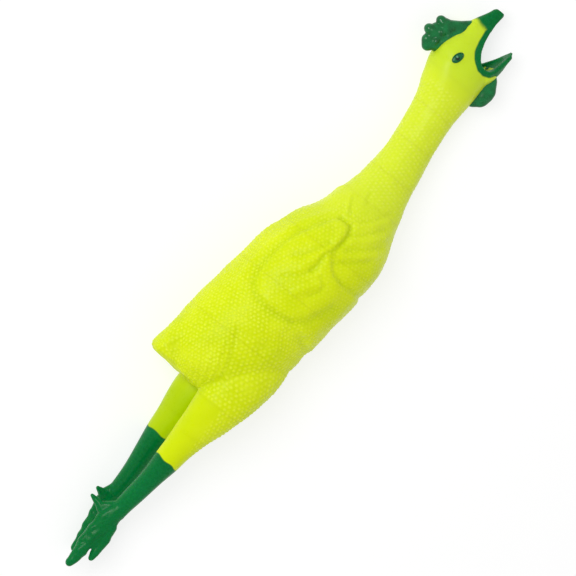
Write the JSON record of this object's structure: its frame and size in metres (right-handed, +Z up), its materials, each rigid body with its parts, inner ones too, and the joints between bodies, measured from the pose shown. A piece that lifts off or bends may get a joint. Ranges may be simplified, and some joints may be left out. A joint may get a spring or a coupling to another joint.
{
  "type": "rubber chicken",
  "caption": "Hollow soft-moulded plucked chicken prop with a long bending neck, open beak, comb, wattles and dangling painted legs.",
  "frame": {"origin": "centre of the bounding box on the surface that the chicken lies on", "axes": "+X towards the head, along the body; +Y towards the back; +Z up, out of the right side, with the chicken lying on its left side"},
  "size_m": [0.5039, 0.1038, 0.0773],
  "materials": {
    "vinyl": "satin, slightly translucent glow vinyl",
    "green_paint": "glossy sprayed paint on vinyl",
    "eye_paint": "glossy painted eye"
  },
  "bodies": {
    "torso": {"torso_shell": "vinyl", "tail": "vinyl", "right_wing": "vinyl", "left_wing": "vinyl"},
    "neck_lower": {"neck_lower": "vinyl"},
    "neck_middle": {"neck_middle": "vinyl"},
    "neck_upper": {"neck_upper": "vinyl"},
    "head": {"head_shell": "vinyl", "comb": "green_paint", "upper_beak": "green_paint", "right_eye": "eye_paint", "left_eye": "eye_paint"},
    "jaw": {"lower_beak": "green_paint"},
    "wattles": {"right_wattle": "green_paint", "left_wattle": "green_paint"},
    "right_thigh": {"right_thigh": "vinyl"},
    "right_shank": {"right_shank": "green_paint"},
    "right_foot": {"right_foot": "green_paint", "right_spur": "green_paint"},
    "left_thigh": {"left_thigh": "vinyl"},
    "left_shank": {"left_shank": "green_paint"},
    "left_foot": {"left_foot": "green_paint", "left_spur": "green_paint"}
  },
  "joints": [
    {"name": "neck_base_bend", "type": "hinge", "parent": "torso", "child": "neck_lower", "pos_m": [0.096, -0.01654, 0.02932], "axis": [0, 0, 1], "range_deg": [-28, 28], "stiffness_Nm_per_rad": 0.4},
    {"name": "neck_sway", "type": "hinge", "parent": "neck_lower", "child": "neck_middle", "pos_m": [0.124, -0.01677, 0.02322], "axis": [0, -1, 0], "range_deg": [0, 28], "stiffness_Nm_per_rad": 0.4},
    {"name": "neck_top_bend", "type": "hinge", "parent": "neck_middle", "child": "neck_upper", "pos_m": [0.152, -0.01461, 0.01921], "axis": [0, 0, 1], "range_deg": [-28, 28], "stiffness_Nm_per_rad": 0.3},
    {"name": "head_nod", "type": "hinge", "parent": "neck_upper", "child": "head", "pos_m": [0.179, -0.01123, 0.01801], "axis": [0, 0, 1], "range_deg": [-25, 25], "stiffness_Nm_per_rad": 0.3},
    {"name": "beak_open", "type": "hinge", "parent": "head", "child": "jaw", "pos_m": [0.211, -0.0245, 0.018], "axis": [0, 0, 1], "range_deg": [-10, 24], "stiffness_Nm_per_rad": 0.05},
    {"name": "wattle_swing", "type": "hinge", "parent": "head", "child": "wattles", "pos_m": [0.2, -0.0326, 0.018], "axis": [1, 0, 0], "range_deg": [-14, 14], "stiffness_Nm_per_rad": 0.01},
    {"name": "right_hip_swing", "type": "hinge", "parent": "torso", "child": "right_thigh", "pos_m": [-0.099, -0.0098, 0.0532], "axis": [0, 0, 1], "range_deg": [-28, 28], "stiffness_Nm_per_rad": 0.25},
    {"name": "right_knee_bend", "type": "hinge", "parent": "right_thigh", "child": "right_shank", "pos_m": [-0.15, -0.0096, 0.0438], "axis": [0, 0, 1], "range_deg": [-28, 28], "stiffness_Nm_per_rad": 0.15},
    {"name": "right_ankle_bend", "type": "hinge", "parent": "right_shank", "child": "right_foot", "pos_m": [-0.194, -0.00903, 0.03473], "axis": [0, 0, 1], "range_deg": [-28, 28], "stiffness_Nm_per_rad": 0.08},
    {"name": "left_hip_swing", "type": "hinge", "parent": "torso", "child": "left_thigh", "pos_m": [-0.099, -0.0046, 0.0198], "axis": [0, 0, 1], "range_deg": [-28, 28], "stiffness_Nm_per_rad": 0.25},
    {"name": "left_knee_bend", "type": "hinge", "parent": "left_thigh", "child": "left_shank", "pos_m": [-0.138, -0.0044, 0.0146], "axis": [0, 0, 1], "range_deg": [-28, 28], "stiffness_Nm_per_rad": 0.15},
    {"name": "left_ankle_bend", "type": "hinge", "parent": "left_shank", "child": "left_foot", "pos_m": [-0.186, -0.00972, 0.00969], "axis": [0, 0, 1], "range_deg": [-28, 28], "stiffness_Nm_per_rad": 0.08}
  ]
}
